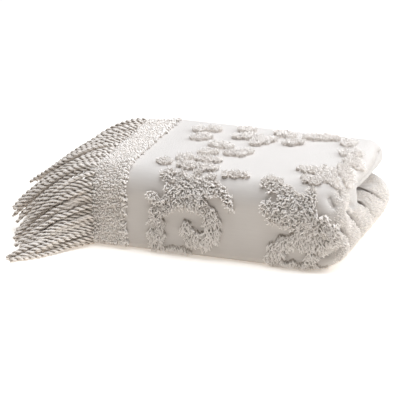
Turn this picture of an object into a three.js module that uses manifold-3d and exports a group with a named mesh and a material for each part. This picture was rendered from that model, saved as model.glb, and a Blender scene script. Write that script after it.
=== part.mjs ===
// A chenille throw, folded into a bundle, with a twisted fringe on the end that shows.
// Millimetres. +X runs from the fringe to the far fold, +Y from the front fold to the open back, +Z up.
// The origin is the middle of the cloth's underside.
//
// The cloth is doubled lengthwise into two plies, folded in half crosswise twice, and then folded over
// lengthwise round the front, so the bundle is an upper and a lower half of eight layers each.

import * as THREE from "three";
import Module from "manifold-3d";

// The folded bundle
const LENGTH = 390;
const DEPTH = 255;
const HEIGHT = 131;
const SHOULDER_RADIUS = 40;
const FOOT_RADIUS = 14;

// The parting between the two halves, open at the back and at the far end
const PARTING_HEIGHT = 81;
const PARTING_GAP = 2.4;
const CROTCH_DEPTH = 54;

// Layers in each half, and how much of a layer's share of the height is cloth
const LAYERS = 8;
const CLOTH_SHARE = 0.76;

// Level of the outer and the inner ply in each crosswise quarter: 0 is outside, 7 is inside.
// The shares are places along the quarter, and turnSteps the facets of the fold that follows it.
const QUARTERS = [
  { outer: 0, inner: 1, inset: 0, shares: [0, 0.06, 0.14, 0.3, 0.65, 1], turnSteps: 8 },
  { outer: 7, inner: 6, inset: 26, shares: [0, 0.5, 1], turnSteps: 5 },
  { outer: 4, inner: 5, inset: 26, shares: [0, 0.5, 1], turnSteps: 5 },
  { outer: 3, inner: 2, inset: 8, shares: [0, 0.5, 1], turnSteps: 0 },
];

// How the bundle has settled
const EDGE_DROOP = 7;
const DROOP_REACH = 62;
const UPPER_FLARE = 6;
const LOWER_FLARE = 9;

// The puckers at the lower half's far end: swellings between creases that run from one place to another
const PUCKER_SWELL = 11;
const CREASE_WIDTH = 9;
const CREASES = [
  { fromY: -6, fromZ: 88, toY: 78, toZ: 52 },
  { fromY: -14, fromZ: 78, toY: 30, toZ: 40 },
  { fromY: -82, fromZ: 84, toY: -22, toZ: 24 },
  { fromY: -109, fromZ: 68, toY: -84, toZ: 34 },
];

// Tufting: rows of cut pile that stand above the plain cloth
const TUFT_LIFT = 5;
const TUFT_SINK = 2;
const TUFT_STEP = 13;
const CREST_SHARE = 0.62;
const CREST_UNDER = -0.6;
const LEAF_STANDOFF = 7;
const BORDER = { inset: 3, width: 53 };
const LEAF = { root: 10, middle: 18, tip: 7 };
const SCROLL = { root: 17, middle: 24, tip: 13 };

// Places on the cloth's face: u from the fringed edge, v from the back edge of the top, over the front.
// A heading of 0 runs away from the fringe and 90 towards the front; bend is how far a band curves.
const SCROLLS = [
  { u: 106, v: 362, heading: -91, length: 78, bend: 4 },
  { u: 106, v: 290, heading: -70, length: 140, bend: 180 },
  { u: 198, v: 318, heading: 92, length: 86, bend: 210 },
  { u: 268, v: 227, heading: 24, length: 42, bend: 8 },
  { u: 300, v: 238, heading: 48, length: 46, bend: 30 },
  { u: 281, v: 262, heading: 80, length: 64, bend: -130 },
  { u: 330, v: 318, heading: 182, length: 86, bend: -140 },
  { u: 290, v: 362, heading: 2, length: 80, bend: 6 },
];
const LEAVES = [
  { u: 94, v: 50, heading: -22, length: 22, bend: 10 },
  { u: 112, v: 34, heading: 12, length: 26, bend: -10 },
  { u: 162, v: 28, heading: -24, length: 28, bend: 12 },
  { u: 104, v: 90, heading: -34, length: 36, bend: 14 },
  { u: 165, v: 66, heading: -52, length: 52, bend: 85 },
  { u: 202, v: 88, heading: -58, length: 46, bend: 14 },
  { u: 220, v: 22, heading: 2, length: 42, bend: 45 },
  { u: 247, v: 68, heading: -34, length: 34, bend: 14 },
  { u: 140, v: 105, heading: 6, length: 42, bend: 16 },
  { u: 175, v: 136, heading: 24, length: 50, bend: -110 },
  { u: 136, v: 150, heading: -22, length: 32, bend: 10 },
  { u: 142, v: 177, heading: -6, length: 42, bend: 16 },
  { u: 117, v: 190, heading: -52, length: 26, bend: 10 },
  { u: 124, v: 206, heading: 18, length: 34, bend: 18 },
  { u: 154, v: 210, heading: 2, length: 36, bend: 18 },
  { u: 203, v: 228, heading: -18, length: 42, bend: 26 },
  { u: 91, v: 202, heading: 20, length: 24, bend: 16 },
  { u: 108, v: 242, heading: -22, length: 24, bend: 10 },
  { u: 94, v: 270, heading: 36, length: 30, bend: 10 },
  { u: 190, v: 246, heading: 18, length: 56, bend: 52 },
  { u: 118, v: 359, heading: -4, length: 44, bend: 6 },
  { u: 268, v: 30, heading: -18, length: 62, bend: 12 },
  { u: 334, v: 22, heading: 46, length: 34, bend: 34 },
  { u: 304, v: 170, heading: 8, length: 40, bend: 16 },
  { u: 322, v: 207, heading: 22, length: 36, bend: 16 },
  { u: 341, v: 188, heading: 34, length: 52, bend: 12 },
  { u: 362, v: 136, heading: 56, length: 68, bend: 18 },
  { u: 345, v: 234, heading: 74, length: 38, bend: 10 },
];
const SPRAYS = [
  { u: 166, v: 262, heading: -96, spread: 176, leaves: 5, length: 42, bend: 12 },
];
const ROSETTES = [
  { u: 360, v: 79, petals: 6, radius: 18 },
  { u: 375, v: 112, petals: 6, radius: 18 },
  { u: 354, v: 302, petals: 8, radius: 36 },
];

// The fringe: cords sewn to a heading along the short end, drooping on top and splayed along the floor
const HEADING_GAP = 0.3;
const HEADING_WIDTH = 8;
const ROOT_SINK = 2.5;
const STRAND_THICKNESS = 4.4;
const STRAND_PITCH = 9.95;
const STRAND_SEGMENTS = 4;
const DROOP_POWER = 1.7;
const SPLAY_POWER = 1.4;
const SHOULDER_SPLAY = 8;
const FLOOR_SPLAY = 108;
const FAN_LEAD = 34;
const FAN_POWER = 1.3;
const OUTER_ROW = { length: 156, fall: 0.58, splay: 1, unevenness: 6 };
const INNER_ROW = { length: 146, fall: 0.76, splay: 0.8, unevenness: 5 };

// The outline runs from the top's back edge, over the front, to the underside's back edge
const FRINGE_END = -LENGTH / 2;
const FRONT = -DEPTH / 2;
const BACK = DEPTH / 2;
const QUARTER_TURN = Math.PI / 2;
const SHOULDER_START = DEPTH - SHOULDER_RADIUS;
const FRONT_START = SHOULDER_START + QUARTER_TURN * SHOULDER_RADIUS;
const FOOT_START = FRONT_START + HEIGHT - SHOULDER_RADIUS - FOOT_RADIUS;
const UNDER_START = FOOT_START + QUARTER_TURN * FOOT_RADIUS;
const OUTLINE_END = UNDER_START + DEPTH - FOOT_RADIUS;
const STRETCHES = [
  { name: "top", start: 0, end: SHOULDER_START, outerSteps: 3, innerSteps: 2 },
  { name: "shoulder", start: SHOULDER_START, end: FRONT_START, outerSteps: 5, innerSteps: 3 },
  { name: "front", start: FRONT_START, end: FOOT_START, outerSteps: 2, innerSteps: 1 },
  { name: "foot", start: FOOT_START, end: UNDER_START, outerSteps: 3, innerSteps: 2 },
  { name: "under", start: UNDER_START, end: OUTLINE_END, outerSteps: 14, innerSteps: 2 },
];
const FOLD_ANGLES = [45, 90, 135];

// One layer's thickness and the place of each level, as shares of the bundle's depth below the outline
const LAYER_SHARE = CLOTH_SHARE / LAYERS;
const levelDepth = (level) => LAYER_SHARE / 2 + (level * (1 - LAYER_SHARE)) / (LAYERS - 1);

const mix = (a, b, share) => a + (b - a) * share;
const smooth = (value, low, high) => THREE.MathUtils.smoothstep(value, low, high);
const radians = (degrees) => THREE.MathUtils.degToRad(degrees);

function outlineAt(v) {
  if (v <= SHOULDER_START) {
    return { y: BACK - v, z: HEIGHT };
  }
  if (v <= FRONT_START) {
    const angle = (v - SHOULDER_START) / SHOULDER_RADIUS;
    const fromTop = SHOULDER_RADIUS * (1 - Math.cos(angle));
    return { y: FRONT + SHOULDER_RADIUS * (1 - Math.sin(angle)), z: HEIGHT - fromTop };
  }
  if (v <= FOOT_START) {
    return { y: FRONT, z: HEIGHT - SHOULDER_RADIUS - (v - FRONT_START) };
  }
  if (v <= UNDER_START) {
    const angle = (v - FOOT_START) / FOOT_RADIUS;
    return { y: FRONT + FOOT_RADIUS * (1 - Math.cos(angle)), z: FOOT_RADIUS * (1 - Math.sin(angle)) };
  }
  return { y: FRONT + FOOT_RADIUS + (v - UNDER_START), z: 0 };
}

// The parting faces the outline: its upper side under the top, its lower side over the underside
function partingAt(v) {
  const crotch = FRONT + CROTCH_DEPTH;
  const half = PARTING_GAP / 2;
  if (v <= SHOULDER_START) {
    return { y: mix(BACK, crotch, v / SHOULDER_START), z: PARTING_HEIGHT + half };
  }
  if (v >= UNDER_START) {
    const share = (v - UNDER_START) / (OUTLINE_END - UNDER_START);
    return { y: mix(crotch, BACK, share), z: PARTING_HEIGHT - half };
  }
  const angle = (Math.PI * (v - SHOULDER_START)) / (UNDER_START - SHOULDER_START);
  return { y: crotch - half * Math.sin(angle), z: PARTING_HEIGHT + half * Math.cos(angle) };
}

function bundleDepth(v) {
  const outer = outlineAt(v);
  const inner = partingAt(v);
  return Math.hypot(outer.y - inner.y, outer.z - inner.z);
}

function bundlePoint(x, v, depth) {
  const outer = outlineAt(v);
  const inner = partingAt(v);
  return new THREE.Vector3(x, mix(outer.y, inner.y, depth), mix(outer.z, inner.z, depth));
}

const farFoldCentre = (v) => LENGTH / 2 - bundleDepth(v) / 2;

// The fringed edge has drooped, and both halves, the lower one more, flare out towards the back
function settle(point) {
  const droop = 1 - smooth(point.x, FRINGE_END, FRINGE_END + DROOP_REACH);
  const far = smooth(point.x, FRINGE_END, LENGTH / 2);
  const back = (point.y - FRONT) / DEPTH;
  const low = 1 - smooth(point.z, PARTING_HEIGHT - 14, PARTING_HEIGHT + 10);
  point.x += mix(UPPER_FLARE, LOWER_FLARE, low) * far * back;
  point.z *= 1 - (EDGE_DROOP / HEIGHT) * droop;
  return point;
}

// How far the cloth swells between the creases at a place on the lower half's far end
function puckerSwell(y, z) {
  const place = new THREE.Vector3(0, y, z);
  const nearest = new THREE.Vector3();
  let trough = 0;
  for (const crease of CREASES) {
    const from = new THREE.Vector3(0, crease.fromY, crease.fromZ);
    const to = new THREE.Vector3(0, crease.toY, crease.toZ);
    new THREE.Line3(from, to).closestPointToPoint(place, true, nearest);
    trough = Math.max(trough, Math.exp(-((nearest.distanceTo(place) / CREASE_WIDTH) ** 2)));
  }
  const lowerHalf = 1 - smooth(z, PARTING_HEIGHT - 20, PARTING_HEIGHT);
  return PUCKER_SWELL * (1 - trough) * lowerHalf;
}

// A ply's back-and-forth section: runs along X at its levels, joined by round turns at the folds
function sectionPath(ply) {
  const path = [];
  QUARTERS.forEach((quarter, index) => {
    const heading = index % 2 === 0 ? 1 : -1;
    const depth = levelDepth(quarter[ply]);
    for (const share of quarter.shares) {
      const along = heading > 0 ? share : 1 - share;
      path.push({ inset: quarter.inset, along, bulge: 0, depth, tangentX: heading, tangentDepth: 0 });
    }
    const next = QUARTERS[index + 1];
    if (!next) {
      return;
    }
    const radius = (levelDepth(next[ply]) - depth) / 2;
    for (let step = 1; step < quarter.turnSteps; step += 1) {
      const angle = (Math.PI * step) / quarter.turnSteps;
      path.push({
        inset: next.inset,
        along: heading > 0 ? 1 : 0,
        bulge: heading * Math.abs(radius) * Math.sin(angle),
        depth: depth + radius * (1 - Math.cos(angle)),
        tangentX: heading * Math.cos(angle),
        tangentDepth: Math.sign(radius) * Math.sin(angle),
        swells: index === 0 && ply === "outer",
      });
    }
  });
  return path;
}

// A point of a ply's face. The far face lies away from the other ply (side 1), the near face towards it (-1).
function plyPoint(place, v, ply, side) {
  const depth = bundleDepth(v);
  const offset = (ply === "outer" ? side : -side) * (LAYER_SHARE / 2);
  const left = FRINGE_END + place.inset;
  const x = mix(left, farFoldCentre(v), place.along) + (place.bulge + place.tangentDepth * offset) * depth;
  const point = bundlePoint(x, v, place.depth - place.tangentX * offset);
  if (place.swells && side > 0) {
    point.x += puckerSwell(point.y, point.z) * place.tangentDepth;
  }
  return settle(point);
}

function runsOf(steps) {
  const runs = [0];
  for (const stretch of STRETCHES) {
    for (let step = 1; step <= stretch[steps]; step += 1) {
      runs.push(mix(stretch.start, stretch.end, step / stretch[steps]));
    }
  }
  return runs;
}

// The lengthwise fold at the top's back edge carries the outer ply round into the inner one
function foldPoint(outer, inner, degrees) {
  const point = new THREE.Vector3().lerpVectors(outer, inner, (1 - Math.cos(radians(degrees))) / 2);
  point.y += (outer.distanceTo(inner) / 2) * Math.sin(radians(degrees));
  return point;
}

function faceRows(outerPath, innerPath, side) {
  const outerRows = runsOf("outerSteps").reverse()
    .map((v) => outerPath.map((place) => plyPoint(place, v, "outer", side)));
  const innerRows = runsOf("innerSteps")
    .map((v) => innerPath.map((place) => plyPoint(place, v, "inner", side)));
  const outerEdge = outerRows.at(-1);
  const innerEdge = innerRows[0];
  const foldRows = FOLD_ANGLES
    .map((degrees) => outerEdge.map((point, index) => foldPoint(point, innerEdge[index], degrees)));
  return [...outerRows, ...foldRows, ...innerRows];
}

const wasm = await Module();
wasm.setup();

// A closed solid from points and triangles, with its faces turned outwards
function solidFrom(points, triangles) {
  let volume = 0;
  for (const [a, b, c] of triangles) {
    volume += points[a].dot(new THREE.Vector3().crossVectors(points[b], points[c]));
  }
  const outward = volume > 0 ? triangles : triangles.map(([a, b, c]) => [a, c, b]);
  const vertProperties = new Float32Array(points.flatMap((point) => point.toArray()));
  const triVerts = new Uint32Array(outward.flat());
  return new wasm.Manifold(new wasm.Mesh({ numProp: 3, vertProperties, triVerts }));
}

// A sheet between two faces, given as matching rows of points, closed round its rim
function sheetSolid(farRows, nearRows) {
  const rowCount = farRows.length;
  const columnCount = farRows[0].length;
  const points = [...farRows.flat(), ...nearRows.flat()];
  const far = (row, column) => row * columnCount + column;
  const near = (row, column) => rowCount * columnCount + far(row, column);
  const triangles = [];
  const quad = (a, b, c, d) => triangles.push([a, b, c], [a, c, d]);
  for (let row = 0; row + 1 < rowCount; row += 1) {
    for (let column = 0; column + 1 < columnCount; column += 1) {
      quad(far(row, column), far(row, column + 1), far(row + 1, column + 1), far(row + 1, column));
      quad(near(row, column), near(row + 1, column), near(row + 1, column + 1), near(row, column + 1));
    }
    const last = columnCount - 1;
    quad(far(row, 0), far(row + 1, 0), near(row + 1, 0), near(row, 0));
    quad(far(row, last), near(row, last), near(row + 1, last), far(row + 1, last));
  }
  for (let column = 0; column + 1 < columnCount; column += 1) {
    const last = rowCount - 1;
    quad(far(0, column), near(0, column), near(0, column + 1), far(0, column + 1));
    quad(far(last, column), far(last, column + 1), near(last, column + 1), near(last, column));
  }
  return solidFrom(points, triangles);
}

// A bar lofted through closed rings of points, capped at both ends
function loftSolid(rings) {
  const size = rings[0].length;
  const points = rings.flat();
  const triangles = [];
  for (let ring = 0; ring + 1 < rings.length; ring += 1) {
    for (let corner = 0; corner < size; corner += 1) {
      const next = (corner + 1) % size;
      const [a, b] = [ring * size + corner, ring * size + next];
      triangles.push([a, b, b + size], [a, b + size, a + size]);
    }
  }
  const lastRing = (rings.length - 1) * size;
  for (let corner = 1; corner + 1 < size; corner += 1) {
    triangles.push([0, corner + 1, corner], [lastRing, lastRing + corner, lastRing + corner + 1]);
  }
  return solidFrom(points, triangles);
}

const joined = (solids) => solids.reduce((whole, solid) => whole.add(solid));

function meshOf(name, solid, material) {
  const { vertProperties, triVerts } = solid.getMesh();
  const geometry = new THREE.BufferGeometry();
  geometry.setAttribute("position", new THREE.BufferAttribute(vertProperties, 3));
  geometry.setIndex(new THREE.BufferAttribute(triVerts, 1));
  geometry.computeVertexNormals();
  const mesh = new THREE.Mesh(geometry, material);
  mesh.name = name;
  return mesh;
}

// A place on the cloth's outer face, raised above it by lift, past the far fold's start too
function facePoint(u, v, lift) {
  const depth = bundleDepth(v);
  const straight = farFoldCentre(v) - FRINGE_END;
  if (u <= straight) {
    return settle(bundlePoint(FRINGE_END + u, v, -lift / depth));
  }
  const radius = depth / 2 + lift;
  const angle = (u - straight) / (depth / 2);
  const x = farFoldCentre(v) + radius * Math.sin(angle);
  const point = bundlePoint(x, v, 0.5 - (radius / depth) * Math.cos(angle));
  point.x += puckerSwell(point.y, point.z) * Math.sin(angle);
  return settle(point);
}

// One ring of a tufted band: its sunk foot and its raised crest, square to the way it runs.
// The crest sinks away where the cloth turns under, so that nothing stands below the underside.
function bandRing(u, v, direction, width) {
  const section = [
    [-0.5, -TUFT_SINK], [0, -TUFT_SINK], [0.5, -TUFT_SINK],
    [CREST_SHARE / 2, TUFT_LIFT], [-CREST_SHARE / 2, TUFT_LIFT],
  ];
  return section.map(([share, lift]) => {
    const across = share * width;
    const run = v + Math.cos(direction) * across;
    const height = lift > 0 ? mix(lift, CREST_UNDER, smooth(run, FOOT_START, UNDER_START - 3)) : lift;
    return facePoint(u - Math.sin(direction) * across, run, height);
  });
}

function tuftBand(stroke, widths) {
  const steps = Math.ceil(stroke.length / TUFT_STEP);
  const stride = stroke.length / steps;
  let { u, v } = stroke;
  const rings = [];
  for (let step = 0; step <= steps; step += 1) {
    const share = step / steps;
    const direction = radians(stroke.heading + stroke.bend * share);
    const nearEnd = share < 0.5 ? widths.root : widths.tip;
    rings.push(bandRing(u, v, direction, mix(nearEnd, widths.middle, Math.sin(Math.PI * share))));
    const ahead = radians(stroke.heading + stroke.bend * (share + 0.5 / steps));
    u += stride * Math.cos(ahead);
    v += stride * Math.sin(ahead);
  }
  return loftSolid(rings);
}

// A leaf that points away from a centre, with its root a little off it
function radialLeaf(centre, heading, length, bend) {
  const u = centre.u + LEAF_STANDOFF * Math.cos(radians(heading));
  const v = centre.v + LEAF_STANDOFF * Math.sin(radians(heading));
  return tuftBand({ u, v, heading, length: length - LEAF_STANDOFF, bend }, LEAF);
}

function sprayLeaves(spray) {
  return Array.from({ length: spray.leaves }, (_, index) => {
    const turn = spray.spread * (index / (spray.leaves - 1) - 0.5);
    return radialLeaf(spray, spray.heading + turn, spray.length, spray.bend);
  });
}

function rosettePetals(rosette) {
  return Array.from({ length: rosette.petals }, (_, index) => (
    radialLeaf(rosette, (360 * index) / rosette.petals, rosette.radius, 20)
  ));
}

// The dense border along the fringed end, on the top, the shoulder and the front
function borderBand() {
  const middle = BORDER.inset + BORDER.width / 2;
  const runs = runsOf("outerSteps").filter((v) => v <= UNDER_START);
  return loftSolid(runs.map((v) => bandRing(middle, v, QUARTER_TURN, BORDER.width)));
}

function throwCloth() {
  const plies = [sectionPath("outer"), sectionPath("inner")];
  const folded = sheetSolid(faceRows(...plies, 1), faceRows(...plies, -1));
  const tufting = [
    borderBand(),
    ...SCROLLS.map((scroll) => tuftBand(scroll, SCROLL)),
    ...LEAVES.map((leaf) => tuftBand(leaf, LEAF)),
    ...SPRAYS.flatMap(sprayLeaves),
    ...ROSETTES.flatMap(rosettePetals),
  ];
  return folded.add(joined(tufting));
}

// The heading is a strip that follows the edge of the doubled cloth, just off it
function headingStrip() {
  const reaches = [HEADING_GAP, HEADING_GAP + HEADING_WIDTH];
  const stripPath = (level) => reaches.map((reach) => ({
    inset: -reach, along: 0, bulge: 0, depth: levelDepth(level), tangentX: 1, tangentDepth: 0,
  }));
  const plies = [stripPath(QUARTERS[0].outer), stripPath(QUARTERS[0].inner)];
  return sheetSolid(faceRows(...plies, 1), faceRows(...plies, -1));
}

// How far a cord's tip is splayed to the front: most at the foot, fading towards the back
function splayAt(v) {
  const share = (start, end) => THREE.MathUtils.clamp((v - start) / (end - start), 0, 1);
  const onTop = smooth(v, 0, SHOULDER_START) * SHOULDER_SPLAY;
  const fanEnd = FOOT_START + FOOT_RADIUS / 2;
  const downFront = share(FRONT_START - FAN_LEAD, fanEnd) ** FAN_POWER;
  return mix(mix(onTop, FLOOR_SPLAY, downFront), 0, share(fanEnd, OUTLINE_END));
}

// Cords side by side on the top and the floor end unevenly; those stacked down the front lie even
function looseness(v) {
  return 1 - smooth(v, SHOULDER_START - 20, SHOULDER_START + 10) + smooth(v, UNDER_START, UNDER_START + 20);
}

function strandSolid(v, level, row, index) {
  const half = STRAND_THICKNESS / 2;
  const rootX = FRINGE_END - HEADING_GAP - HEADING_WIDTH + ROOT_SINK;
  const root = settle(bundlePoint(rootX, v, levelDepth(level)));
  const uneven = row.unevenness * looseness(v) * Math.sin(index * index + index);
  const fall = row.fall * root.z;
  const splay = row.splay * splayAt(v);
  const length = row.length + uneven;
  const out = Math.sqrt(length ** 2 - fall ** 2 - splay ** 2);
  const centre = (share) => new THREE.Vector3(
    root.x - out * share,
    root.y - splay * share ** SPLAY_POWER,
    Math.max(half, root.z - fall * share ** DROOP_POWER),
  );
  const rings = [];
  for (let step = 0; step <= STRAND_SEGMENTS; step += 1) {
    const share = step / STRAND_SEGMENTS;
    const ahead = centre(Math.min(1, share + 0.05)).sub(centre(Math.max(0, share - 0.05))).normalize();
    const across = new THREE.Vector3(0, 0, 1).cross(ahead).normalize().multiplyScalar(half);
    const up = ahead.clone().cross(across).normalize().multiplyScalar(half);
    const middle = centre(share);
    rings.push([[1, 1], [-1, 1], [-1, -1], [1, -1]].map(([sideways, upward]) => (
      middle.clone().addScaledVector(across, sideways).addScaledVector(up, upward)
    )));
  }
  return loftSolid(rings);
}

function strandRow(level, row, lastRun) {
  const count = Math.floor(lastRun / STRAND_PITCH);
  return Array.from({ length: count }, (_, index) => (
    strandSolid((index + 0.5) * STRAND_PITCH, level, row, index)
  ));
}

function fringe() {
  const outerStrands = strandRow(QUARTERS[0].outer, OUTER_ROW, OUTLINE_END);
  const innerStrands = strandRow(QUARTERS[0].inner, INNER_ROW, FRONT_START);
  return joined([headingStrip(), ...outerStrands, ...innerStrands]);
}

const clothCotton = new THREE.MeshStandardMaterial({ color: 0xddd8d2, roughness: 0.95, metalness: 0 });
const fringeCotton = new THREE.MeshStandardMaterial({ color: 0xd3cdc5, roughness: 0.95, metalness: 0 });

const chenilleThrow = new THREE.Group();
chenilleThrow.add(meshOf("throw_cloth", throwCloth(), clothCotton));
chenilleThrow.add(meshOf("fringe", fringe(), fringeCotton));

export default chenilleThrow;
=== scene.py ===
# A chenille throw, folded into a bundle, with a tufted leaf-and-scroll relief and a twisted cord fringe.
# Metres. +X runs from the fringe to the far fold, +Y from the front fold to the open back, +Z up.
import math

import bpy
import numpy as np
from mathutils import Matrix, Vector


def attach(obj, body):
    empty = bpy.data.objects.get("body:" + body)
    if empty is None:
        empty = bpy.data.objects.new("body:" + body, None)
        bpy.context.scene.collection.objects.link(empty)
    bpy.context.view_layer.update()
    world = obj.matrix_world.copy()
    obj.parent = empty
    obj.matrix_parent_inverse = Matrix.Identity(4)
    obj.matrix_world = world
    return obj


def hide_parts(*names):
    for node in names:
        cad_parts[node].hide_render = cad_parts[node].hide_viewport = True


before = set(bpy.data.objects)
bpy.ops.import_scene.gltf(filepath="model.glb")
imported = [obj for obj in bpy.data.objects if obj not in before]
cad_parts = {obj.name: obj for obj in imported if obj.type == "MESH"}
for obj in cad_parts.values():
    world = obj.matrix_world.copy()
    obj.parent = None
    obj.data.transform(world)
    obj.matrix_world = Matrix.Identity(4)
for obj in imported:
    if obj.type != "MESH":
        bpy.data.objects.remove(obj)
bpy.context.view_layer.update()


# The studio: a wide pale floor, lit a little from within like a light table, a large soft box overhead,
# a smaller one behind and to the right, warm light from all round, and a long lens.
FLOOR_SIZE = 12.0
FLOOR_COLOUR = (0.94, 0.90, 0.845, 1.0)
FLOOR_MOTTLE = 0.985
FLOOR_GLOW = 0.37
WARM_WHITE = (1.0, 0.945, 0.88, 1.0)
AMBIENT_STRENGTH = 0.115
SOFT_BOXES = [
    {"name": "soft_box", "place": (0.05, 0.08, 1.9), "target": (0.0, 0.0, 0.05), "size": 1.7, "watts": 47.5},
    {"name": "back_box", "place": (1.60, 0.75, 1.1), "target": (0.1, 0.1, 0.0), "size": 1.4, "watts": 31.0},
]
SOFT_BOX_COLOUR = (0.94, 1.0, 1.08)
CAMERA_TARGET = np.array((-0.0621, 0.0, 0.0451))
CAMERA_AZIMUTH = math.radians(18.7)
CAMERA_ELEVATION = math.radians(20.5)
CAMERA_DISTANCE = 3.479
CAMERA_LENS = 198.0
CAMERA_REACH = 50.0
# A Mix node has sockets for each kind of value, under the same names: these are the ones for colours
COLOUR_MIX = {"factor": 0, "first": 6, "second": 7, "result": 2}

scene = bpy.context.scene
scene.view_settings.view_transform = "Standard"


class Value:
    """A socket in a tree that is being wired; arithmetic on it adds Math nodes."""

    def __init__(self, wiring, socket):
        self.wiring = wiring
        self.socket = socket

    def math(self, operation, first, second=0.0):
        return self.wiring.node("ShaderNodeMath", {"operation": operation}, {0: first, 1: second})

    def __add__(self, other):
        return self.math("ADD", self, other)

    def __sub__(self, other):
        return self.math("SUBTRACT", self, other)

    def __rsub__(self, other):
        return self.math("SUBTRACT", other, self)

    def __mul__(self, other):
        return self.math("MULTIPLY", self, other)

    def __truediv__(self, other):
        return self.math("DIVIDE", self, other)

    def __rtruediv__(self, other):
        return self.math("DIVIDE", other, self)

    __radd__ = __add__
    __rmul__ = __mul__

    def sine(self):
        return self.math("SINE", self)

    def cosine(self):
        return self.math("COSINE", self)


class Wiring:
    """A node tree: node() adds any node, set up and fed in one go."""

    def __init__(self, tree):
        self.tree = tree

    def node(self, kind, settings, sockets, output=0):
        made = self.tree.nodes.new(kind)
        for name, setting in settings.items():
            setattr(made, name, setting)
        for name, value in sockets.items():
            self.feed(made.inputs[name], value)
        return Value(self, made.outputs[output]) if made.outputs else None

    def feed(self, socket, value):
        if isinstance(value, Value):
            self.tree.links.new(value.socket, socket)
        else:
            socket.default_value = value

    def ramp(self, value, low, high, start=0.0, end=1.0):
        sockets = {"Value": value, "From Min": low, "From Max": high, "To Min": start, "To Max": end}
        return self.node("ShaderNodeMapRange", {"interpolation_type": "SMOOTHSTEP"}, sockets)


class Finish(Wiring):
    """A procedural material with one Principled shader, whose even values are set on its own sockets."""

    def __init__(self, name, constants):
        self.material = bpy.data.materials.new(name)
        self.material.use_nodes = True
        super().__init__(self.material.node_tree)
        self.shader = self.tree.nodes["Principled BSDF"]
        for socket, value in constants.items():
            self.shader.inputs[socket].default_value = value

    def place(self):
        return self.node("ShaderNodeTexCoord", {}, {}, output="Object")

    def blend(self, factor, first, second):
        sockets = {COLOUR_MIX["factor"]: factor, COLOUR_MIX["first"]: first, COLOUR_MIX["second"]: second}
        return self.node("ShaderNodeMix", {"data_type": "RGBA"}, sockets, output=COLOUR_MIX["result"])

    def noise(self, vector, scale, detail):
        sockets = {"Vector": vector, "Scale": scale, "Detail": detail}
        return self.node("ShaderNodeTexNoise", {}, sockets)

    def attribute(self, name):
        return self.node("ShaderNodeAttribute", {"attribute_name": name}, {}, output="Fac")

    def bump(self, height, distance, strength):
        sockets = {"Height": height, "Distance": distance, "Strength": strength}
        return self.node("ShaderNodeBump", {}, sockets)

    def surface(self, sockets):
        for name, value in sockets.items():
            self.feed(self.shader.inputs[name], value)


def add_object(name, data):
    made = bpy.data.objects.new(name, data)
    scene.collection.objects.link(made)
    return made


def floor_finish():
    finish = Finish("studio floor", {"Roughness": 0.9, "Specular IOR Level": 0.1,
                                     "Emission Color": WARM_WHITE, "Emission Strength": FLOOR_GLOW})
    mottle = finish.noise(finish.place(), scale=3.0, detail=2.0)
    darker = tuple(channel * FLOOR_MOTTLE for channel in FLOOR_COLOUR[:3]) + (1.0,)
    finish.surface({"Base Color": finish.blend(mottle, darker, FLOOR_COLOUR)})
    return finish.material


half_floor = FLOOR_SIZE / 2
floor_mesh = bpy.data.meshes.new("studio_floor")
floor_corners = [(-1, -1), (1, -1), (1, 1), (-1, 1)]
floor_mesh.from_pydata([(x * half_floor, y * half_floor, 0.0) for x, y in floor_corners], [], [(0, 1, 2, 3)])
floor_mesh.materials.append(floor_finish())
floor = add_object("studio_floor", floor_mesh)

world = bpy.data.worlds.new("studio")
world.use_nodes = True
world.node_tree.nodes["Background"].inputs["Color"].default_value = WARM_WHITE
world.node_tree.nodes["Background"].inputs["Strength"].default_value = AMBIENT_STRENGTH
scene.world = world


def aim(thing, place, target):
    direction = Vector(target) - Vector(place)
    thing.location = place
    thing.rotation_mode = "QUATERNION"
    thing.rotation_quaternion = direction.to_track_quat("-Z", "Y")


for box in SOFT_BOXES:
    light = bpy.data.lights.new(box["name"], "AREA")
    light.size = box["size"]
    light.energy = box["watts"]
    light.color = SOFT_BOX_COLOUR
    aim(add_object(box["name"], light), box["place"], box["target"])

lens = bpy.data.cameras.new("camera")
lens.lens = CAMERA_LENS
lens.clip_end = CAMERA_REACH
camera = add_object("camera", lens)
away = np.array((
    math.sin(CAMERA_AZIMUTH) * math.cos(CAMERA_ELEVATION),
    -math.cos(CAMERA_AZIMUTH) * math.cos(CAMERA_ELEVATION),
    math.sin(CAMERA_ELEVATION),
))
aim(camera, tuple(CAMERA_TARGET + away * CAMERA_DISTANCE), tuple(CAMERA_TARGET))
scene.camera = camera


# The cloth: one cut length of plain-woven ivory cotton, doubled lengthwise into two plies, folded in half
# crosswise twice and folded over lengthwise round the front. It is one thin sheet with all its layers.
LENGTH = 0.390
DEPTH = 0.255
HEIGHT = 0.131
SHOULDER_RADIUS = 0.040
FOOT_RADIUS = 0.014
PARTING_HEIGHT = 0.081
PARTING_GAP = 0.0024
CROTCH_DEPTH = 0.054
LAYERS = 8
CLOTH_SHARE = 0.76
LAYER_SHARE = CLOTH_SHARE / LAYERS
QUARTERS = [
    {"outer": 0, "inner": 1, "inset": 0.0, "steps": 50, "turn_steps": 92},
    {"outer": 7, "inner": 6, "inset": 0.026, "steps": 6, "turn_steps": 8},
    {"outer": 4, "inner": 5, "inset": 0.026, "steps": 6, "turn_steps": 8},
    {"outer": 3, "inner": 2, "inset": 0.008, "steps": 6, "turn_steps": 0},
]
EDGE_DROOP = 0.007
DROOP_REACH = 0.062
UPPER_FLARE = 0.006
LOWER_FLARE = 0.009
HALVES_BLEND = (PARTING_HEIGHT - 0.014, PARTING_HEIGHT + 0.010)

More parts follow.
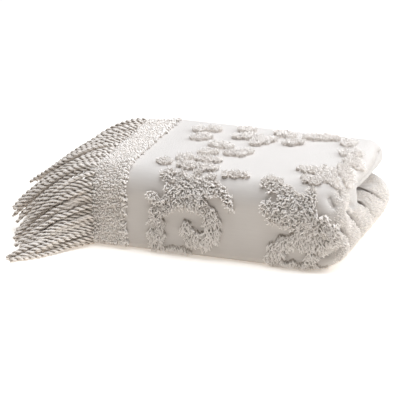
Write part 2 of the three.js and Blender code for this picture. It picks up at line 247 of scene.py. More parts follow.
FRINGE_END = -LENGTH / 2
FRONT = -DEPTH / 2
BACK = DEPTH / 2
SHOULDER_START = DEPTH - SHOULDER_RADIUS
FRONT_START = SHOULDER_START + math.pi / 2 * SHOULDER_RADIUS
FOOT_START = FRONT_START + HEIGHT - SHOULDER_RADIUS - FOOT_RADIUS
UNDER_START = FOOT_START + math.pi / 2 * FOOT_RADIUS
OUTLINE_END = UNDER_START + DEPTH - FOOT_RADIUS
STRETCHES = [
    {"start": 0.0, "end": SHOULDER_START, "outer": 34, "inner": 8},
    {"start": SHOULDER_START, "end": FRONT_START, "outer": 16, "inner": 10},
    {"start": FRONT_START, "end": FOOT_START, "outer": 22, "inner": 4},
    {"start": FOOT_START, "end": UNDER_START, "outer": 8, "inner": 6},
    {"start": UNDER_START, "end": OUTLINE_END, "outer": 116, "inner": 8},
]
FOLD_STEPS = 8
FOLD_ANGLES = np.radians(np.linspace(0, 180, FOLD_STEPS + 1)[1:-1])

# The lower half's far end stands out in puckers, parted by creases that run from the crotch, as places (y, z)
PUCKER_SWELL = 0.011
SWELL_BLEND = {"open": 0.008, "closed": 0.038}
CREASE_FADE_POWER = 5
CREASE_SPREAD = 4.2
BROAD_SHARE = 0.32
PUCKERS = [
    {"depth": 0.0170, "width": 0.0020, "line": [(-0.006, 0.092), (0.059, 0.073), (0.092, 0.042)]},
    {"depth": 0.0160, "width": 0.0020, "line": [(-0.014, 0.078), (0.020, 0.064), (0.036, 0.028)]},
    {"depth": 0.0140, "width": 0.0020,
     "line": [(-0.082, 0.086), (-0.052, 0.064), (-0.033, 0.044), (-0.014, 0.010)]},
    {"depth": 0.0130, "width": 0.0020, "line": [(-0.109, 0.068), (-0.098, 0.054), (-0.080, 0.028)]},
    {"depth": 0.0070, "width": 0.0030, "line": [(-0.064, 0.094), (-0.046, 0.083)]},
    {"depth": 0.0065, "width": 0.0028, "line": [(0.066, 0.074), (0.104, 0.066)]},
]
# Towards the front the far end's two halves are pressed together, from the first place (y) to the second
CLOSED = {"start": 0.012, "end": -0.030, "reach": 0.97, "overlap": 0.0022, "tuck": (0.6, 1.0)}
# Troughs pressed into the outer face, as places (u, v) on the cloth
TROUGHS = [
    {"depth": 0.0150, "width": 0.0019,
     "line": [(0.394, 0.012), (0.404, 0.042), (0.409, 0.099), (0.402, 0.157)]},
    {"depth": 0.0130, "width": 0.0022, "line": [(0.376, 0.247), (0.389, 0.263)]},
    {"depth": 0.0115, "width": 0.0021, "line": [(0.388, 0.221), (0.397, 0.236)]},
    {"depth": 0.0110, "width": 0.0022, "line": [(0.360, 0.353), (0.380, 0.349), (0.395, 0.339)]},
]


def mix(first, second, share):
    return first + (second - first) * share


def smooth(value, low, high):
    share = np.clip((value - low) / (high - low), 0.0, 1.0)
    return share * share * (3.0 - 2.0 * share)


def distances_along(line):
    return np.concatenate([[0.0], np.cumsum(np.linalg.norm(np.diff(line, axis=0), axis=1))])


def level_depth(level):
    return LAYER_SHARE / 2 + level * (1.0 - LAYER_SHARE) / (LAYERS - 1)


def outline_at(v):
    """(y, z) of the bundle's outline, from the top's back edge, over the front, to the underside's back."""
    shoulder = np.clip((v - SHOULDER_START) / SHOULDER_RADIUS, 0.0, math.pi / 2)
    foot = np.clip((v - FOOT_START) / FOOT_RADIUS, 0.0, math.pi / 2)
    y = BACK - np.minimum(v, SHOULDER_START) - SHOULDER_RADIUS * np.sin(shoulder)
    y = y + FOOT_RADIUS * (1.0 - np.cos(foot)) + np.maximum(v - UNDER_START, 0.0)
    z = HEIGHT - SHOULDER_RADIUS * (1.0 - np.cos(shoulder)) - FOOT_RADIUS * np.sin(foot)
    return y, z - np.clip(v - FRONT_START, 0.0, FOOT_START - FRONT_START)


def parting_at(v):
    """(y, z) of the parting between the halves, on the side that faces the outline at v."""
    crotch = FRONT + CROTCH_DEPTH
    over = np.clip(v / SHOULDER_START, 0.0, 1.0)
    under = np.clip((v - UNDER_START) / (OUTLINE_END - UNDER_START), 0.0, 1.0)
    turn = math.pi * np.clip((v - SHOULDER_START) / (UNDER_START - SHOULDER_START), 0.0, 1.0)
    y = BACK + (crotch - BACK) * (over - under) - PARTING_GAP / 2 * np.sin(turn)
    return y, PARTING_HEIGHT + PARTING_GAP / 2 * np.cos(turn)


def bundle_depth(v):
    outer_y, outer_z = outline_at(v)
    inner_y, inner_z = parting_at(v)
    return np.hypot(outer_y - inner_y, outer_z - inner_z)


def bundle_point(x, v, depth):
    outer_y, outer_z = outline_at(v)
    inner_y, inner_z = parting_at(v)
    y = mix(outer_y, inner_y, depth)
    z = mix(outer_z, inner_z, depth)
    return np.stack(np.broadcast_arrays(x, y, z), axis=-1).astype(float)


def far_fold_centre(v):
    return LENGTH / 2 - bundle_depth(v) / 2


def settle(points):
    """The fringed edge has drooped, and the halves, the lower one more, flare out towards the back."""
    x, y, z = points[..., 0], points[..., 1], points[..., 2]
    droop = 1.0 - smooth(x, FRINGE_END, FRINGE_END + DROOP_REACH)
    far = smooth(x, FRINGE_END, LENGTH / 2)
    low = 1.0 - smooth(z, *HALVES_BLEND)
    points[..., 0] = x + mix(UPPER_FLARE, LOWER_FLARE, low) * far * (y - FRONT) / DEPTH
    points[..., 2] = z * (1.0 - EDGE_DROOP / HEIGHT * droop)
    return points


def crease_depth(first, second, creases):
    """How deep a face's creases lie at places on it: each crease dies out along its line and beside it."""
    deepest = np.zeros(np.broadcast(first, second).shape)
    for crease in creases:
        line = np.array(crease["line"])
        reach = distances_along(line)
        for index, start in enumerate(line[:-1]):
            run = line[index + 1] - start
            share = ((first - start[0]) * run[0] + (second - start[1]) * run[1]) / (run @ run)
            share = np.clip(share, 0.0, 1.0)
            distance = np.hypot(first - start[0] - run[0] * share, second - start[1] - run[1] * share)
            narrow = np.exp(-(distance / crease["width"]) ** 2)
            broad = np.exp(-(distance / (CREASE_SPREAD * crease["width"])) ** 2)
            fade = 1.0 - (mix(reach[index], reach[index + 1], share) / reach[-1]) ** CREASE_FADE_POWER
            deepest = np.maximum(deepest, crease["depth"] * fade * mix(narrow, broad, BROAD_SHARE))
    return deepest


def far_swell(y, z, closed):
    """How far the lower half's puckered cloth stands out at the far end."""
    spread = mix(SWELL_BLEND["open"], SWELL_BLEND["closed"], closed)
    lower = 1.0 - smooth(z, PARTING_HEIGHT - spread, PARTING_HEIGHT + spread * closed)
    return PUCKER_SWELL * lower - crease_depth(y, z, PUCKERS)


def face_point(u, v, lift):
    """A place on the outer face: u from the fringed edge, v from the top's back edge, raised by lift."""
    depth = bundle_depth(v)
    centre = far_fold_centre(v)
    straight = centre - FRINGE_END
    angle = np.clip((u - straight) / (depth / 2), 0.0, math.pi)
    height = lift - crease_depth(u, v, TROUGHS)
    radius = depth / 2 + height
    points = bundle_point(FRINGE_END + np.minimum(u, straight), v, 0.5 - radius / depth * np.cos(angle))
    closed = 1.0 - smooth(points[..., 1], CLOSED["end"], CLOSED["start"])
    far_half = angle > math.pi / 2
    full = np.where(far_half, np.maximum(np.sin(angle), CLOSED["reach"]), np.sin(angle))
    reach = mix(np.sin(angle), full, closed)
    points[..., 0] += radius * reach + far_swell(points[..., 1], points[..., 2], closed) * reach
    away_from_parting = np.sign(points[..., 2] - PARTING_HEIGHT)
    tuck = smooth(-np.cos(angle), *CLOSED["tuck"])
    points[..., 2] -= away_from_parting * CLOSED["overlap"] * closed * tuck
    return settle(points)


def crease_at(u, v):
    """How deep the creases in the cloth's outer face lie at places on it, in its puckers or its troughs."""
    face = face_point(u, v, 0.0)
    return np.maximum(crease_depth(face[..., 1], face[..., 2], PUCKERS), crease_depth(u, v, TROUGHS))


def section_path(ply):
    """A ply's back-and-forth section as arrays: runs along X at its levels, and round turns between."""
    places = {"inset": [], "along": [], "bulge": [], "depth": [], "tangent_x": [], "tangent_depth": []}

    def add(*values):
        for column, value in zip(places.values(), values):
            column.append(value)

    for index, quarter in enumerate(QUARTERS):
        heading = 1 if index % 2 == 0 else -1
        depth = level_depth(quarter[ply])
        for share in np.linspace(0.0, 1.0, quarter["steps"] + 1):
            add(quarter["inset"], share if heading > 0 else 1.0 - share, 0.0, depth, heading, 0.0)
        if index + 1 == len(QUARTERS):
            break
        following = QUARTERS[index + 1]
        radius = (level_depth(following[ply]) - depth) / 2
        for angle in np.linspace(0.0, math.pi, quarter["turn_steps"] + 1)[1:-1]:
            bulge = heading * abs(radius) * math.sin(angle)
            level = depth + radius * (1.0 - math.cos(angle))
            tangent = (heading * math.cos(angle), math.copysign(math.sin(angle), radius))
            add(following["inset"], max(heading, 0), bulge, level, *tangent)
    return {name: np.array(column) for name, column in places.items()}


def ply_points(path, v, ply, side):
    """A ply's face, a row for each v: away from the other ply on side 1, towards it on side -1."""
    v = v[:, None]
    depth = bundle_depth(v)
    offset = (side if ply == "outer" else -side) * LAYER_SHARE / 2
    x = mix(FRINGE_END + path["inset"], far_fold_centre(v), path["along"])
    x = x + (path["bulge"] + path["tangent_depth"] * offset) * depth
    return settle(bundle_point(x, v, path["depth"] - path["tangent_x"] * offset))


def runs_of(ply):
    runs = [np.linspace(part["start"], part["end"], part[ply], endpoint=False) for part in STRETCHES]
    return np.concatenate([*runs, [OUTLINE_END]])


def fold_rows(outer_edge, inner_edge):
    """The lengthwise fold at the top's back edge, which carries the outer ply round into the inner one."""
    reach = np.linalg.norm(outer_edge - inner_edge, axis=-1) / 2
    rows = []
    for angle in FOLD_ANGLES:
        row = mix(outer_edge, inner_edge, (1.0 - math.cos(angle)) / 2)
        row[:, 1] += reach * math.sin(angle)
        rows.append(row)
    return np.array(rows)


def doubled_face(paths, side):
    """Rows of points over both plies of the cloth, from one long edge, round the fold, to the other."""
    outer = ply_points(paths["outer"], runs_of("outer"), "outer", side)[::-1]
    inner = ply_points(paths["inner"], runs_of("inner"), "inner", side)
    return np.concatenate([outer, fold_rows(outer[-1], inner[0]), inner])


def shown_places():
    """Places (u, v) over the first quarter and its fold, the part of the cloth that shows."""
    v = runs_of("outer")[::-1][:, None]
    quarter = QUARTERS[0]
    straight = far_fold_centre(v) - FRINGE_END
    along = np.linspace(0.0, 1.0, quarter["steps"] + 1)
    angles = np.linspace(0.0, math.pi, quarter["turn_steps"] + 1)[1:-1]
    u = np.concatenate([straight * along, straight + angles * bundle_depth(v) / 2], axis=1)
    return np.broadcast_arrays(u, v)


def grid_faces(rows, columns):
    row, column = np.meshgrid(np.arange(rows - 1), np.arange(columns - 1), indexing="ij")
    corner = (row * columns + column).ravel()
    return np.stack([corner, corner + 1, corner + columns + 1, corner + columns], axis=1)


def rim_loop(rows, columns):
    index = np.arange(rows * columns).reshape(rows, columns)
    return np.concatenate([index[0, :-1], index[:-1, -1], index[-1, :0:-1], index[:0:-1, 0]])


# The row and the column, as shares of all, along which the sheet's UVs are measured
MEASURED_ROW = 0.25
MEASURED_COLUMN = 0.125


def shell_mesh(name, far_rows, near_rows):
    """A thin closed sheet between two matching faces, with UVs in metres along its rows and columns."""
    rows, columns = far_rows.shape[:2]
    count = rows * columns
    points = np.concatenate([far_rows.reshape(-1, 3), near_rows.reshape(-1, 3)])
    far = grid_faces(rows, columns)
    rim = rim_loop(rows, columns)
    after = np.roll(rim, -1)
    wall = np.stack([rim, rim + count, after + count, after], axis=1)
    faces = np.concatenate([far, far[:, ::-1] + count, wall])
    corners = points[faces]
    area = np.cross(corners[:, 2] - corners[:, 0], corners[:, 3] - corners[:, 1])
    if np.sum(corners.mean(axis=1) * area) < 0:
        faces = faces[:, ::-1]
    along = distances_along(far_rows[int(rows * MEASURED_ROW)])
    across = distances_along(far_rows[:, int(columns * MEASURED_COLUMN)])
    flat = np.stack(np.meshgrid(across, along, indexing="ij")[::-1], axis=-1).reshape(-1, 2)
    mesh = bpy.data.meshes.new(name)
    mesh.from_pydata(points.tolist(), [], faces.tolist())
    weave = mesh.uv_layers.new(name="weave")
    weave.data.foreach_set("uv", np.concatenate([flat, flat])[faces.ravel()].ravel())
    mesh.shade_smooth()
    return mesh


COTTON = (0.65, 0.60, 0.553, 1.0)
COTTON_SHADE = (0.565, 0.515, 0.468, 1.0)
# Painted shade: the colour the cloth is given down in its deep creases, and the crease depths over which it
# comes in
CREASE_SHADE_COLOUR = (0.20, 0.17, 0.145, 1.0)
CREASE_SHADE_DEPTHS = (0.0046, 0.0096)
THREAD_PITCH = 0.0011
THREAD_RISE = 0.35
SLUB_SCALE = (26.0, 460.0, 1.0)
SLUB_TONE = 0.6
BROAD_TONE = 0.4


def cloth_finish():
    """Fine plain weave: threads over and under, with slubs along the weft and a faint unevenness of tone.
    Down in the deep creases, shade is painted into its colour."""
    finish = Finish("plain cotton weave", {"Roughness": 0.92, "Sheen Weight": 0.25, "Sheen Roughness": 0.5,
                                           "Specular IOR Level": 0.2})
    place = finish.node("ShaderNodeUVMap", {"uv_map": "weave"}, {})
    u = finish.node("ShaderNodeSeparateXYZ", {}, {"Vector": place}, output="X")
    v = finish.node("ShaderNodeSeparateXYZ", {}, {"Vector": place}, output="Y")
    turn = 2.0 * math.pi / THREAD_PITCH
    threads = (u * turn).sine() * (v * turn).sine()
    stretched = finish.node("ShaderNodeMapping", {}, {"Vector": place, "Scale": SLUB_SCALE})
    slubs = finish.noise(stretched, scale=1.0, detail=3.0)
    broad = finish.noise(place, scale=9.0, detail=3.0)
    height = threads * THREAD_RISE + slubs
    tone = finish.blend(slubs * SLUB_TONE + broad * BROAD_TONE, COTTON_SHADE, COTTON)
    finish.surface({"Base Color": finish.blend(finish.attribute("crease_shade_mask"), tone, CREASE_SHADE_COLOUR),
                    "Normal": finish.bump(height, distance=0.0004, strength=0.5)})
    return finish.material


plies = {ply: section_path(ply) for ply in ("outer", "inner")}
far_face = doubled_face(plies, 1)
shown_u, shown_v = shown_places()
shown = np.s_[:shown_u.shape[0], :shown_u.shape[1]]
far_face[shown] = face_point(shown_u, shown_v, 0.0)
cloth = add_object("throw_cloth_sheet", shell_mesh("throw_cloth_sheet", far_face, doubled_face(plies, -1)))
# Painted shade: how deep each shown place lies in a crease, which darkens the cloth's colour there
crease_shade_mask = np.zeros((2, *far_face.shape[:2]))
crease_shade_mask[0][shown] = smooth(crease_at(shown_u, shown_v), *CREASE_SHADE_DEPTHS)
cloth.data.attributes.new("crease_shade_mask", "FLOAT", "POINT").data.foreach_set("value", crease_shade_mask.ravel())
cloth.data.materials.append(cloth_finish())
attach(cloth, "root")
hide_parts("throw_cloth")


# The tufted relief: soft chenille yarn worked through the cloth in scrolls, sprays of leaves and rosettes,
# and cut to a short shaggy pile. A low padded ground shows where the stitches draw the cloth up.
LEAF = {"root": 0.008, "middle": 0.015, "tip": 0.005}
TOP_LEAF = {"root": 0.012, "middle": 0.024, "tip": 0.009}
SCROLL = {"root": 0.017, "middle": 0.025, "tip": 0.013}
LEAF_STANDOFF = 0.007
PETAL_BEND = 20
SCROLLS = [
    {"u": 0.106, "v": 0.362, "heading": -91, "length": 0.078, "bend": 4},
    {"u": 0.104, "v": 0.306, "heading": -62, "length": 0.122, "bend": 124},
    {"u": 0.120, "v": 0.256, "heading": -6, "length": 0.078, "bend": 16},
    {"u": 0.198, "v": 0.316, "heading": 92, "length": 0.074, "bend": 196},
    {"u": 0.196, "v": 0.290, "heading": 84, "length": 0.042, "bend": 8},
    {"u": 0.268, "v": 0.227, "heading": 24, "length": 0.042, "bend": 8},
    {"u": 0.300, "v": 0.238, "heading": 48, "length": 0.046, "bend": 30},
    {"u": 0.281, "v": 0.262, "heading": 80, "length": 0.064, "bend": -130},
    {"u": 0.330, "v": 0.318, "heading": 182, "length": 0.086, "bend": -140},
    {"u": 0.290, "v": 0.362, "heading": 2, "length": 0.080, "bend": 6},
]
LEAVES = [
    {"u": 0.094, "v": 0.050, "heading": -22, "length": 0.022, "bend": 10},
    {"u": 0.112, "v": 0.034, "heading": 12, "length": 0.026, "bend": -10},
    {"u": 0.162, "v": 0.028, "heading": -24, "length": 0.028, "bend": 12},
    {"u": 0.104, "v": 0.090, "heading": -34, "length": 0.036, "bend": 14},
    {"u": 0.165, "v": 0.066, "heading": -52, "length": 0.052, "bend": 85},
    {"u": 0.202, "v": 0.088, "heading": -58, "length": 0.046, "bend": 14},
    {"u": 0.220, "v": 0.022, "heading": 2, "length": 0.042, "bend": 45},
    {"u": 0.247, "v": 0.068, "heading": -34, "length": 0.034, "bend": 14},
    {"u": 0.140, "v": 0.105, "heading": 6, "length": 0.042, "bend": 16},
    {"u": 0.175, "v": 0.136, "heading": 24, "length": 0.050, "bend": -110},
    {"u": 0.136, "v": 0.150, "heading": -22, "length": 0.032, "bend": 10},
    {"u": 0.142, "v": 0.177, "heading": -6, "length": 0.042, "bend": 16},
    {"u": 0.117, "v": 0.190, "heading": -52, "length": 0.026, "bend": 10},
    {"u": 0.124, "v": 0.206, "heading": 18, "length": 0.034, "bend": 18},
    {"u": 0.154, "v": 0.210, "heading": 2, "length": 0.036, "bend": 18},
    {"u": 0.203, "v": 0.228, "heading": -18, "length": 0.042, "bend": 26},
    {"u": 0.091, "v": 0.202, "heading": 20, "length": 0.024, "bend": 16},
    {"u": 0.108, "v": 0.242, "heading": -22, "length": 0.024, "bend": 10},
    {"u": 0.094, "v": 0.270, "heading": 36, "length": 0.030, "bend": 10},
    {"u": 0.190, "v": 0.246, "heading": 18, "length": 0.056, "bend": 52},
    {"u": 0.118, "v": 0.359, "heading": -4, "length": 0.044, "bend": 6},
    {"u": 0.268, "v": 0.030, "heading": -18, "length": 0.062, "bend": 12},
    {"u": 0.334, "v": 0.022, "heading": 46, "length": 0.034, "bend": 34},
    {"u": 0.304, "v": 0.170, "heading": 8, "length": 0.040, "bend": 16},
    {"u": 0.322, "v": 0.207, "heading": 22, "length": 0.036, "bend": 16},
    {"u": 0.341, "v": 0.188, "heading": 34, "length": 0.052, "bend": 12},
    {"u": 0.362, "v": 0.136, "heading": 56, "length": 0.068, "bend": 18},
    {"u": 0.345, "v": 0.234, "heading": 74, "length": 0.038, "bend": 10},
    {"u": 0.344, "v": 0.352, "heading": -46, "length": 0.022, "bend": 10},
    {"u": 0.318, "v": 0.248, "heading": 20, "length": 0.044, "bend": 10},
    {"u": 0.326, "v": 0.262, "heading": 40, "length": 0.036, "bend": 10},
    {"u": 0.316, "v": 0.282, "heading": 20, "length": 0.038, "bend": 10},
    {"u": 0.336, "v": 0.158, "heading": 40, "length": 0.044, "bend": 12},
]
SPRAYS = [
    {"u": 0.166, "v": 0.262, "heading": -96, "spread": 176, "leaves": 5, "length": 0.042, "bend": 12},
]
ROSETTES = [
    {"u": 0.360, "v": 0.079, "petals": 6, "radius": 0.018},
    {"u": 0.375, "v": 0.112, "petals": 6, "radius": 0.018},
    {"u": 0.354, "v": 0.302, "petals": 12, "radius": 0.034},
    {"u": 0.354, "v": 0.302, "petals": 6, "radius": 0.022},
]
LOBE_PITCH = 0.017
LOBE_SHARE = 0.20
BAND_STEP = 0.003
GROUND_LIFT = 0.0018
GROUND_DOME_POWER = 3.0
GROUND_RIM_SINK = 0.0002
GROUND_SINK = 0.0012
GROUND_PROFILE = np.linspace(-0.5, 0.5, 9)
FAR_LIFT = (0.365, 0.392)
PRESSED_FOOT = (FOOT_START - 0.004, UNDER_START - 0.003)
TUFT_SPACING = 0.0017
TUFT_CROWDING = 0.72
TUFT_FOOT = GROUND_LIFT * 0.7
TUFT = {"Length": 0.0064, "Radius": 0.00070, "Bend": 0.0042}
TUFT_FORM = {"sides": 4, "steps": 3, "root": (0.0, 0.0, -0.001), "knee": 0.62,
             "foot": 0.72, "belly": 0.42, "rounding": 0.85, "taper": 0.30}
# How the tufts of a band are strewn, in shares of their spacing, and how far they lean out and along it
TUFTING = {"fullness": (0.72, 1.18), "across": 0.22, "along": 0.3,
           "outward": 3.2, "onward": 0.35, "onward_gain": 0.8, "lean": 1.0}
CLUMP = {"spacing": 0.0042, "heights": (0.80, 1.20), "sizes": (0.85, 1.15), "lean": 0.5, "strays": 0.45}
HANG = 1.0
TUFT_SEED = 11
NUDGE = 0.0005
FUZZ = {"u": (0.372, 0.472), "v": (0.190, 0.612), "fade": 0.020, "crease": (0.0022, 0.0050),
        "count": 13000, "spacing": 0.0015, "size": 0.50, "uneven": (0.6, 1.4), "thin": 0.5}
FUZZ_TUFT = {"Length": 0.0050, "Radius": 0.0010, "Bend": 0.0024}
TOP_EDGE = (0.012, 0.008)
RELIEF_SPLIT = 0.24
PRESSED_SHARE = 0.80
PRESSED_TUFT = 0.35
PRESSED_HEIGHT = 0.0006
PRESSED_SOFTNESS = 4.0


def radial_leaf(centre, heading, length, bend):
    turn = math.radians(heading)
    u = centre["u"] + LEAF_STANDOFF * math.cos(turn)
    v = centre["v"] + LEAF_STANDOFF * math.sin(turn)
    length = length - LEAF_STANDOFF
    return {"u": u, "v": v, "heading": heading, "length": length, "bend": bend, "widths": LEAF}


def relief_bands():
    """Every tufted band: its start, heading, length, bend and widths."""
    bands = [{**scroll, "widths": SCROLL} for scroll in SCROLLS]
    bands += [{**leaf, "widths": TOP_LEAF if leaf["v"] < SHOULDER_START else LEAF} for leaf in LEAVES]
    for spray in SPRAYS:
        for turn in np.linspace(-0.5, 0.5, spray["leaves"]) * spray["spread"]:
            bands.append(radial_leaf(spray, spray["heading"] + turn, spray["length"], spray["bend"]))
    for rosette in ROSETTES:
        heart = {"u": rosette["u"] - LEAF_STANDOFF, "v": rosette["v"], "heading": 0, "bend": 0}
        bands.append({**heart, "length": 2 * LEAF_STANDOFF, "widths": LEAF})
        for index in range(rosette["petals"]):
            heading = 360 * index / rosette["petals"]
            bands.append(radial_leaf(rosette, heading, rosette["radius"], PETAL_BEND))
    return bands


def band_line(band, step):
    """A band's middle line: places u and v, direction, width and the share along it."""
    steps = max(2, math.ceil(band["length"] / step))
    share = np.linspace(0.0, 1.0, steps + 1)
    direction = np.radians(band["heading"] + band["bend"] * share)
    between = np.radians(band["heading"] + band["bend"] * (share[:-1] + 0.5 / steps))
    stride = band["length"] / steps
    u = band["u"] + np.concatenate([[0.0], np.cumsum(stride * np.cos(between))])
    v = band["v"] + np.concatenate([[0.0], np.cumsum(stride * np.sin(between))])
    end = np.where(share < 0.5, band["widths"]["root"], band["widths"]["tip"])
    lobes = np.sin(2.0 * math.pi * share * band["length"] / LOBE_PITCH + band["heading"])
    width = mix(end, band["widths"]["middle"], np.sin(math.pi * share)) * (1.0 + LOBE_SHARE * lobes)
    return u, v, direction, width, share


def foot_fade(u, v):
    """Pile is pressed flat where the cloth turns under, short of the far fold."""
    return 1.0 - smooth(v, *PRESSED_FOOT) * (1.0 - smooth(u, *FAR_LIFT))


def ground_rings(u, v, direction, width):
    """A band's padded ground: a domed crest over a sunk foot, one ring for each place along it."""
    across = width[:, None] * GROUND_PROFILE
    ring_u = u[:, None] - np.sin(direction)[:, None] * across
    ring_v = v[:, None] + np.cos(direction)[:, None] * across
    dome = (1.0 - np.abs(2.0 * GROUND_PROFILE) ** GROUND_DOME_POWER) * GROUND_LIFT
    crest = face_point(ring_u, ring_v, dome * foot_fade(ring_u, ring_v) - GROUND_RIM_SINK)
    foot = face_point(ring_u, ring_v, np.full(ring_u.shape, -GROUND_SINK))
    return np.concatenate([crest, foot[:, ::-1]], axis=1)


def loft_mesh(name, bars):
    """Closed bars, each lofted through its rings, joined in one mesh."""
    points, faces, base = [], [], 0
    for rings in bars:
        count, size = rings.shape[:2]
        ring, corner = np.meshgrid(np.arange(count - 1), np.arange(size), indexing="ij")
        here = base + (ring * size + corner).ravel()
        beside = base + (ring * size + (corner + 1) % size).ravel()
        faces += np.stack([here, beside, beside + size, here + size], axis=1).tolist()
        faces.append(list(range(base + size - 1, base - 1, -1)))
        faces.append(list(range(base + (count - 1) * size, base + count * size)))
        points.append(rings.reshape(-1, 3))
        base += count * size
    mesh = bpy.data.meshes.new(name)
    mesh.from_pydata(np.concatenate(points).tolist(), [], faces)
    mesh.shade_smooth()
    return mesh


def band_tufts(band, chance):
    """Places of tufts over a band, with the way each one leans: outwards, and a little along the band."""
    u, v, direction, width, share = band_line(band, TUFT_SPACING)
    places = []
    for index in range(len(u)):
        count = max(1, round(width[index] * chance.uniform(*TUFTING["fullness"]) / TUFT_SPACING))
        across = (np.arange(count) + 0.5) / count - 0.5 + chance.normal(0.0, TUFTING["across"] / count, count)
        along = chance.normal(0.0, TUFTING["along"] * TUFT_SPACING, count)
        turn = direction[index]
        place_u = u[index] + math.cos(turn) * along - math.sin(turn) * across * width[index]
        place_v = v[index] + math.sin(turn) * along + math.cos(turn) * across * width[index]
        onward = TUFTING["onward"] + TUFTING["onward_gain"] * share[index]
        lean = turn + np.arctan2(across * TUFTING["outward"], onward)
        lean = lean + chance.normal(0.0, TUFTING["lean"], count)
        places.append(np.stack([place_u, place_v, lean], axis=1))
    return np.concatenate(places)


def thinned(places, spacing):
    """Drops places that lie almost on top of an earlier one."""
    taken, kept = {}, []
    for index, (u, v, _) in enumerate(places):
        cell = (int(u // spacing), int(v // spacing))
        near = [taken.get((cell[0] + i, cell[1] + j)) for i in (-1, 0, 1) for j in (-1, 0, 1)]
        if all(n is None or math.hypot(n[0] - u, n[1] - v) > spacing for n in near):
            taken[cell] = (u, v)
            kept.append(index)
    return places[kept]


def fuzz_at(u, v):
    """How full the short loose pile on the far end's puckers is, which keeps out of the creases."""
    full = 1.0 - smooth(crease_at(u, v), *FUZZ["crease"])
    for place, (low, high) in ((u, FUZZ["u"]), (v, FUZZ["v"])):
        full *= smooth(place, low, low + FUZZ["fade"]) * (1.0 - smooth(place, high - FUZZ["fade"], high))
    return full


def fuzz_tufts(chance):
    places = np.stack([
        chance.uniform(*FUZZ["u"], FUZZ["count"]),
        chance.uniform(*FUZZ["v"], FUZZ["count"]),
        chance.uniform(0.0, 2.0 * math.pi, FUZZ["count"]),
    ], axis=1)
    grows = chance.uniform(0.0, 1.0, FUZZ["count"]) < fuzz_at(places[:, 0], places[:, 1])
    return thinned(places[grows], FUZZ["spacing"])


def clumped(places, stretch, hang, chance):
    """Draws tufts together in clumps of uneven height, longer by stretch along u: their lean and size.
    Down the front the tufts hang over besides, by hang."""
    squeeze = np.array((1.0 / stretch, 1.0, 1.0))
    clumps = thinned(places * squeeze, CLUMP["spacing"])
    heights = chance.uniform(*CLUMP["heights"], len(clumps))
    towards = clumps[None, :, :2] - (places * squeeze)[:, None, :2]
    nearest = np.argmin(np.sum(towards ** 2, axis=2), axis=1)
    du, dv = towards[np.arange(len(places)), nearest].T
    lean = np.arctan2(dv, du) + chance.normal(0.0, CLUMP["lean"], len(places))
    stray = chance.uniform(0.0, 1.0, len(places)) < CLUMP["strays"]
    lean = np.where(stray, places[:, 2], lean)
    droop = hang * smooth(places[:, 1], SHOULDER_START, FRONT_START)
    lean = np.arctan2(np.sin(lean) + droop, np.cos(lean))
    sizes = heights[nearest] * chance.uniform(*CLUMP["sizes"], len(places))
    return np.column_stack([places[:, :2], lean]), sizes


def tuft_points(name, places, lift, sizes):
    """A mesh of bare points on the cloth's face, each with the normal, the lean and the size of its tuft."""
    u, v, lean = places.T
    points = face_point(u, v, lift * foot_fade(u, v))
    lifted = face_point(u, v, lift)
    normals = face_point(u, v, lift + NUDGE) - lifted
    leans = face_point(u + NUDGE * np.cos(lean), v + NUDGE * np.sin(lean), lift) - lifted
    mesh = bpy.data.meshes.new(name)
    mesh.from_pydata(points.tolist(), [], [])
    for attribute, values in (("normal_way", normals), ("lean_way", leans)):
        unit = values / np.linalg.norm(values, axis=1, keepdims=True)
        layer = mesh.attributes.new(attribute, "FLOAT_VECTOR", "POINT")
        layer.data.foreach_set("vector", unit.ravel())
    layer = mesh.attributes.new("tuft_size", "FLOAT", "POINT")
    layer.data.foreach_set("value", sizes * mix(PRESSED_TUFT, 1.0, foot_fade(u, v)))
    return mesh


# A Random Value node has an output for each kind of value, all of one name: this is the plain number's
RANDOM_NUMBER = 1


class Growth(Wiring):
    """A Geometry Nodes tree with named inputs, which notes values on what it makes and ends in a mesh."""

    def __init__(self, name, inputs):
        super().__init__(bpy.data.node_groups.new(name, "GeometryNodeTree"))
        self.add_socket("Geometry", "INPUT", "Geometry")
        for label, kind in inputs.items():
            self.add_socket(label, "INPUT", kind)
        self.add_socket("Geometry", "OUTPUT", "Geometry")
        entry = self.tree.nodes.new("NodeGroupInput")
        self.given = {socket.name: Value(self, socket) for socket in entry.outputs if socket.name}

    def add_socket(self, label, way, kind):
        self.tree.interface.new_socket(label, in_out=way, socket_type="NodeSocket" + kind)

    def note(self, geometry, name, value, data_type="FLOAT", domain="POINT"):
        return self.node("GeometryNodeStoreNamedAttribute", {"data_type": data_type, "domain": domain},
                         {"Geometry": geometry, "Name": name, "Value": value})

    def noted(self, name, data_type):
        return self.node("GeometryNodeInputNamedAttribute", {"data_type": data_type}, {"Name": name})

    def random_number(self, sockets):
        sockets = {**sockets, "Seed": self.given["Seed"]}
        return self.node("FunctionNodeRandomValue", {"data_type": "FLOAT"}, sockets, output=RANDOM_NUMBER)

    def ring(self, sides, radius):
        return self.node("GeometryNodeCurvePrimitiveCircle", {}, {"Resolution": sides, "Radius": radius})

    def swept(self, spine, ring):
        return self.node("GeometryNodeCurveToMesh", {},
                         {"Curve": spine, "Profile Curve": ring, "Fill Caps": True})

    def dress(self, geometry):
        real = self.node("GeometryNodeRealizeInstances", {}, {"Geometry": geometry})
        dressed = self.node("GeometryNodeSetMaterial", {},
                            {"Geometry": real, "Material": self.given["Material"]})
        self.node("NodeGroupOutput", {}, {"Geometry": dressed})
        return self.tree


